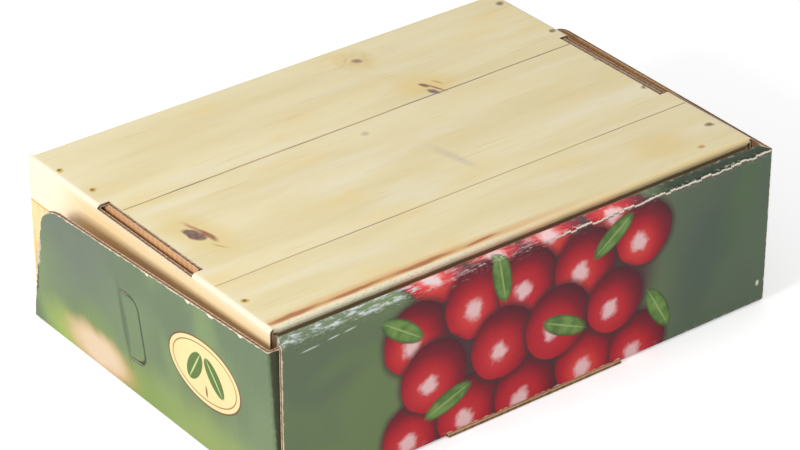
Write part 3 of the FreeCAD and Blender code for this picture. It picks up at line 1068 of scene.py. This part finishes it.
def front_material():
    """Print of the front wall: greens, a heap of generic fruit and leaves, and the rubbed rim."""
    p = Paint("front_print", on_front)
    up = FLAP_FACE_Y - p.v
    blurred_leaves(p, (106, 122, 94), (116, 136, 90), (116, 146, 82), 91)
    p.coat((92, 106, 92), p.step(p.u, 40, 80) * 0.75)
    p.blot((92, 122, 78), (104, 50), (10, 30), 25, 0.8, 0.6, p.wavy(20, 24, 88))
    p.blot((84, 98, 88), (88, 34), (9, 26), 15, 0.8, 0.6, p.wavy(20, 24, 90))
    p.blot((88, 66, 68), (0, 42), (60, 46), 0, 0.12)
    fruit_heap(p)
    blade = p.mix((92, 128, 60), (126, 160, 84), p.step(p.grain(6, 6, 92, 3.0), 0.35, 0.65))
    for x, height, turn in ((-66, 58, 35), (-44, 18, -20), (-18, 64, 80),
                            (14, 30, 25), (38, 62, -35), (63, 20, 60)):
        p.blot((58, 84, 48), (x, height), (11.5, 4.6), turn, 0.1)
        p.blot(blade, (x, height), (10.8, 4.0), turn, 0.2)
        p.blot((158, 184, 112), (x, height), (10.0, 0.4), turn, 0.4)

    # Rim: dark green on the right, chalky scuffs on the left, pink ones over the fruit
    rim = p.step(up, 71.2, 72.2) * p.step(up, 79.0, 78.0)
    p.coat((22, 44, 10), rim * p.step(p.u, 52, 72) * 0.95)
    chalk = p.step(p.grain(8, 2.4, 95, 4.0, 0.65), 0.47, 0.62) * rim
    p.coat((216, 224, 226), chalk * p.step(p.u, -34, -50) * 0.85)
    pink = p.step(p.grain(9, 2.0, 96, 4.0, 0.65), 0.48, 0.66) * rim
    p.coat((214, 186, 186), pink * p.step(p.u, 20, 4) * p.step(p.u, -50, -34) * 0.7)
    fold_patches = p.step(p.grain(5, 0.7, 97, 4.0, 0.7), 0.6, 0.7)
    fold_patches = fold_patches * p.step(up, 66.5, 69.5) * p.step(up, 72.4, 71.6)
    p.coat((226, 226, 218), fold_patches * p.step(p.u, 0, -30) * 0.75)
    for start, end, height in ((-112.5, -105, 66.4), (-100.5, -95.5, 67.4), (-93, -88, 67.9)):
        p.stroke((212, 220, 212), (start, height), (end, height + 0.4), 0.7, 0.5, 0.85)
    p.blot((228, 222, 206), (117.8, 11), (0.9, 1.3))

    # Cracked outer crease on the right, which jumps up and down in short steps
    cells = p.math("FLOOR", p.u * (1 / 2.7))
    jump = p.math("FRACT", p.math("SINE", cells * 12.99) * 437.6)
    crack = up - 71.6 - (jump - 0.5) * 1.0 + (p.grain(1.2, 1.2, 99, 3.0) - 0.5) * 0.9
    right = p.step(p.u, 2, 16)
    p.coat((112, 80, 62), p.step(abs(crack + 0.5), 0.5, 0.2) * right * 0.85)
    p.coat((236, 226, 208), p.step(abs(crack), 0.5, 0.22) * right)
    back = abs(up - 78.0 + (p.grain(3, 3, 94, 4.0) - 0.5) * 1.6)
    dots = p.step(p.grain(1.6, 1.2, 98, 3.0), 0.5, 0.6)
    p.coat((228, 216, 198), p.step(back, 0.6, 0.2) * dots * p.step(p.u, 20, 40) * 0.9)
    return print_finish(p, 0.9)


def kraft_material():
    """Plain brown inner face, with flute lines showing through."""
    p = Paint("kraft_face")
    p.color = p.mix((212, 166, 118), (196, 149, 104), p.step(p.grain(40, 30, 101, 3.0), 0.35, 0.65))
    p.coat((170, 126, 84), p.step(p.washboard(), 0.2, 1.0) * 0.4)
    p.coat((206, 168, 128), p.step(p.grain(7, 0.6, 103, 3.0, 0.6), 0.56, 0.72) * 0.4)
    p.coat((120, 86, 58), p.step(p.grain(0.9, 0.6, 105, 2.0), 0.7, 0.78) * 0.5)
    height = p.washboard() * 0.05 + p.grain(1.0, 0.6, 107, 4.0) * 0.05
    return p.finish(p.grain(12, 12, 108) * 0.15 + 0.75, height, 0.25)


def raw_material(name, pale, dark, depth):
    """Torn paper at a cut: fibres, stains and a rough face."""
    p = Paint(name)
    p.color = p.mix(pale, dark, p.step(p.grain(1.8, 1.1, 111, 4.0, 0.7), 0.38, 0.66))
    p.coat(dark, p.step(p.grain(16, 16, 113, 2.0), 0.5, 0.7) * 0.5)
    fibres = p.grain(0.6, 0.4, 117, 3.0)
    return p.finish(p.grain(3, 3, 115) * 0.1 + 0.82, fibres * depth, 0.2)


def hinge_strip(materials):
    """The fold between lid and tray: paper bent from the panel's edge round to the wall's foot."""
    thickness, radius, clear = 0.5, 0.8, 0.05
    bend_y, bend_z = FAR_Y - clear - radius, clear + radius
    outer = [(y, clear) for y in (PANEL_FAR_Y - 0.5, PANEL_FAR_Y + 0.3)]
    inner = [(y, z + thickness) for y, z in outer]
    for turn in spread(-90, 0, 15):
        out_y, out_z = math.cos(math.radians(turn)), math.sin(math.radians(turn))
        for path, reach in ((outer, radius), (inner, radius - thickness)):
            path.append((bend_y + reach * out_y, bend_z + reach * out_z))
    outer.append((FAR_Y - clear, 1.7))
    inner.append((FAR_Y - clear - thickness, 1.7))
    ring = outer + inner[::-1]
    size = len(ring)
    xs = spread(-TRAY_WALL_X, TRAY_WALL_X)
    points, flat, faces, slots = [], [], [], []
    for x in xs:
        for k, (y, z) in enumerate(ring):
            points.append(Vector((x, y, z)))
            flat.append((x, PANEL_FAR_Y + min(k, size - 1 - k) * 0.3))
    for i in range(len(xs) - 1):
        for k in range(size):
            nxt = (k + 1) % size
            faces.append([i * size + k, i * size + nxt, (i + 1) * size + nxt, (i + 1) * size + k])
            slots.append(0 if k < len(outer) - 1 else 1)
    faces += [list(range(size))[::-1], [(len(xs) - 1) * size + k for k in range(size)]]
    slots += [1, 1]
    piece = make_piece("hinge_fold", points, faces, slots, materials, flat, [(5.0, 1.0)] * len(points))
    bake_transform(piece)


def make_camera():
    """Camera at the photo's viewing angle."""
    azimuth, elevation, roll = (math.radians(a) for a in (AZIMUTH, ELEVATION, ROLL))
    level = Vector((math.sin(azimuth), -math.cos(azimuth), 0))
    back = level * math.cos(elevation) + Vector((0, 0, math.sin(elevation)))
    right = Vector((0, 0, 1)).cross(back).normalized()
    turn = Matrix((right, back.cross(right), back)).transposed() @ Matrix.Rotation(roll, 3, "Z")
    data = bpy.data.cameras.new("camera")
    data.sensor_width = SENSOR_MM
    data.sensor_fit = "HORIZONTAL"
    data.lens = FOCAL_PX * SENSOR_MM / PHOTO_WIDTH_PX
    data.clip_start, data.clip_end = 0.05, 20.0
    camera = add_object("camera", data)
    camera.matrix_world = Matrix.Translation((TARGET + back * DISTANCE) * MM) @ turn.to_4x4()
    bpy.context.scene.camera = camera


def make_lamp():
    """Square soft lamp that shines at the box from its left."""
    data = bpy.data.lights.new("key", "AREA")
    data.shape = "SQUARE"
    data.size = LAMP_SIZE
    data.energy = LAMP_POWER
    lamp = add_object("key", data)
    out = Vector(LAMP_DIRECTION).normalized()
    lamp.location = out * LAMP_DISTANCE + Vector((0, 0, 0.04))
    lamp.rotation_mode = "QUATERNION"
    lamp.rotation_quaternion = out.to_track_quat("Z", "Y")


def make_world():
    """White surroundings for the camera and for gloss, and soft light from all round."""
    world = bpy.data.worlds.new("surroundings")
    bpy.context.scene.world = world
    world.use_nodes = True
    nodes, links = world.node_tree.nodes, world.node_tree.links
    background = nodes["Background"]
    path = nodes.new("ShaderNodeLightPath")
    seen = nodes.new("ShaderNodeMath")
    seen.operation = "MAXIMUM"
    links.new(path.outputs["Is Camera Ray"], seen.inputs[0])
    links.new(path.outputs["Is Glossy Ray"], seen.inputs[1])
    strength = nodes.new("ShaderNodeMapRange")
    strength.inputs["To Min"].default_value = AMBIENT
    strength.inputs["To Max"].default_value = 1.0
    links.new(seen.outputs[0], strength.inputs["Value"])
    background.inputs["Color"].default_value = (1, 1, 1, 1)
    links.new(strength.outputs["Result"], background.inputs["Strength"])


def make_floor():
    """Pale floor, which keeps the box's shadow."""
    half = 3.0
    mesh = bpy.data.meshes.new("floor")
    corners = [(-half, -half, 0), (half, -half, 0), (half, half, 0), (-half, half, 0)]
    mesh.from_pydata(corners, [], [(0, 1, 2, 3)])
    floor = add_object("floor", mesh)
    floor.location.z = -0.0002
    material = bpy.data.materials.new("floor")
    material.use_nodes = True
    nodes, links = material.node_tree.nodes, material.node_tree.links
    shader = nodes["Principled BSDF"]
    shader.inputs["Base Color"].default_value = (0.8, 0.8, 0.8, 1)
    shader.inputs["Roughness"].default_value = 0.9
    path = nodes.new("ShaderNodeLightPath")
    glow = nodes.new("ShaderNodeMath")
    glow.operation = "MULTIPLY"
    glow.inputs[1].default_value = FLOOR_GLOW
    links.new(path.outputs["Is Camera Ray"], glow.inputs[0])
    shader.inputs["Emission Color"].default_value = (1, 1, 1, 1)
    links.new(glow.outputs[0], shader.inputs["Emission Strength"])
    mesh.materials.append(material)


def main():
    random.seed(SEED)
    bpy.context.scene.view_settings.view_transform = "Standard"
    make_camera()
    make_world()
    make_floor()
    make_lamp()
    inks = {
        "wood": wood_material(), "ends": ends_material(), "green": green_material(),
        "side": side_material(), "front": front_material(), "kraft": kraft_material(),
        "lip": raw_material("paper_edge", (232, 220, 200), (196, 166, 132), 0.04),
        "core": raw_material("core_shade", (150, 114, 84), (112, 82, 58), 0.05),
        "medium": raw_material("wavy_paper", (184, 146, 110), (154, 118, 84), 0.04),
    }
    tray = solid_sheet("tray_sheet", tray_skin(), inks, ["wood", "ends", "kraft", "lip", "core", "medium"])
    lid = solid_sheet("lid_sheet", lid_skin(), inks,
                      ["green", "side", "front", "kraft", "lip", "core", "medium"])
    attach(tray, "tray")
    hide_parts("tray")
    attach(lid, "lid")
    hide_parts("lid")
    hinge_strip([inks["green"], inks["kraft"]])


main()
